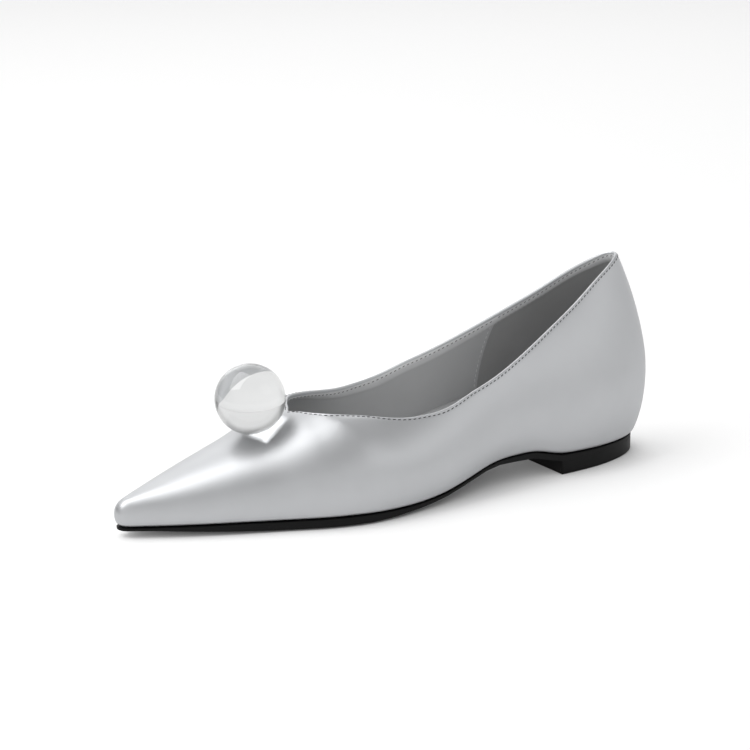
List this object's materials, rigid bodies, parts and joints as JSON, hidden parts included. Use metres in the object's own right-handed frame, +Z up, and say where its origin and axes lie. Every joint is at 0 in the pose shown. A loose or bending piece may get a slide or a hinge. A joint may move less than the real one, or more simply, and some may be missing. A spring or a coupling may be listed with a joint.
{
  "type": "pointed toe flat shoe",
  "caption": "Left women's pointed toe flat in silver leather with a low V-shaped throat, a clear ball on the vamp, and a thin black sole with a low heel.",
  "frame": {"origin": "middle of the bounding box's bottom, on the floor between heel and toe", "axes": "+Z up, toe to -Y, outer side of the foot to +X"},
  "size_m": [0.0792, 0.2634, 0.0911],
  "materials": {
    "upper_leather": "smooth metallic silver, soft gloss",
    "insole_lining": "smooth grey lining leather, matt",
    "sole": "black, satin",
    "heel": "black, satin",
    "clear_ball": "clear polished acrylic"
  },
  "bodies": {
    "root": {"upper": "upper_leather", "insole": "insole_lining", "outsole": "sole", "heel": "heel", "ball": "clear_ball"}
  },
  "joints": []
}
